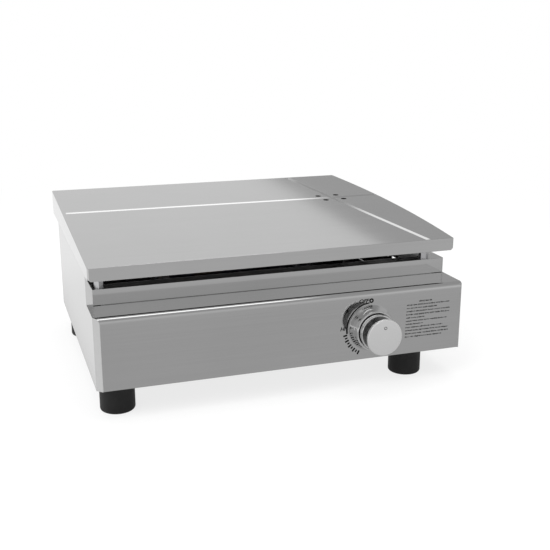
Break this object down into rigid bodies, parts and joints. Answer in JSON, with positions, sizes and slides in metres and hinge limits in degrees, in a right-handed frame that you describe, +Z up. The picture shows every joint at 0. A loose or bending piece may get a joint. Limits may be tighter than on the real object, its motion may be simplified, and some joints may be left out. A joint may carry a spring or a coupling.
{
  "type": "flat top griddle",
  "caption": "Table-top gas griddle: a folded steel plate with drain creases on spacers over a stepped sheet-metal body, with a push-and-turn knob and rubber feet.",
  "frame": {"origin": "on the table under the middle of the overall box", "axes": "+Z up, +Y towards the back, +X to the right seen from the front"},
  "size_m": [0.44, 0.4424, 0.1792],
  "materials": {
    "plate_steel": "satin cold-rolled",
    "body_steel": "fine brushed",
    "pan_steel": "mill",
    "tray_steel": "satin",
    "burner_steel": "mill, heat tinted",
    "zinc_steel": "zinc plated",
    "steel_bar": "turned",
    "rubber": "matt moulded",
    "lead_rubber": "silicone sleeve",
    "black_plastic": "moulded",
    "brass": "machined",
    "aluminium_tube": "drawn",
    "ceramic": "glazed",
    "chrome": "polished",
    "dark_chrome": "black chrome",
    "knob_satin": "satin",
    "ink": "paint fill"
  },
  "bodies": {
    "chassis": {"left_side_panel": "body_steel", "right_side_panel": "body_steel", "upper_fascia": "body_steel", "control_panel": "body_steel", "back_panel": "body_steel", "base_pan": "pan_steel", "heat_shield": "pan_steel", "plate_spacers": "zinc_steel", "spacer_washers": "zinc_steel", "spacer_nuts": "zinc_steel", "rubber_feet": "rubber", "foot_screws": "zinc_steel", "foot_washers": "zinc_steel", "foot_nuts": "zinc_steel", "burner_tube": "burner_steel", "burner_venturi": "burner_steel", "burner_cradles": "zinc_steel", "valve_bracket": "zinc_steel", "valve_body": "brass", "valve_bonnet": "brass", "return_spring": "steel_bar", "gas_jet": "brass", "valve_screws": "zinc_steel", "gas_pipe": "aluminium_tube", "pipe_nut": "brass", "gas_inlet": "brass", "inlet_locknut": "brass", "igniter_module": "black_plastic", "electrode_ceramic": "ceramic", "electrode_tip": "steel_bar", "electrode_bracket": "zinc_steel", "ignition_lead": "lead_rubber", "lead_boot": "lead_rubber", "drain_chute": "pan_steel", "tray_runners": "zinc_steel", "panel_screws": "zinc_steel", "knob_bezel": "chrome"},
    "griddle": {"griddle_plate": "plate_steel", "plate_cups": "zinc_steel"},
    "plug": {"valve_plug": "brass"},
    "knob": {"valve_stem": "steel_bar", "knob_skirt": "chrome", "knob_grip": "dark_chrome", "knob_cap": "knob_satin", "knob_indicator": "ink"},
    "tray": {"grease_tray": "tray_steel"},
    "shutter": {"air_shutter": "zinc_steel"}
  },
  "joints": [
    {"name": "knob_turn", "type": "hinge", "parent": "chassis", "child": "plug", "pos_m": [0.093, -0.16625, 0.0715], "axis": [0, -1, 0], "range_deg": [0, 150]},
    {"name": "knob_push", "type": "slide", "parent": "plug", "child": "knob", "axis": [0, 1, 0], "range_m": [0, 0.003], "deforming": ["return_spring"]},
    {"name": "plate_lift", "type": "slide", "parent": "chassis", "child": "griddle", "axis": [0, 0, 1], "range_m": [0, 0.04]},
    {"name": "tray_slide", "type": "slide", "parent": "chassis", "child": "tray", "axis": [1, 0, 0], "range_m": [0, 0.11]},
    {"name": "shutter_turn", "type": "hinge", "parent": "chassis", "child": "shutter", "pos_m": [0.093, -0.13825, 0.0832], "axis": [0, 1, 0], "range_deg": [0, 40]}
  ]
}
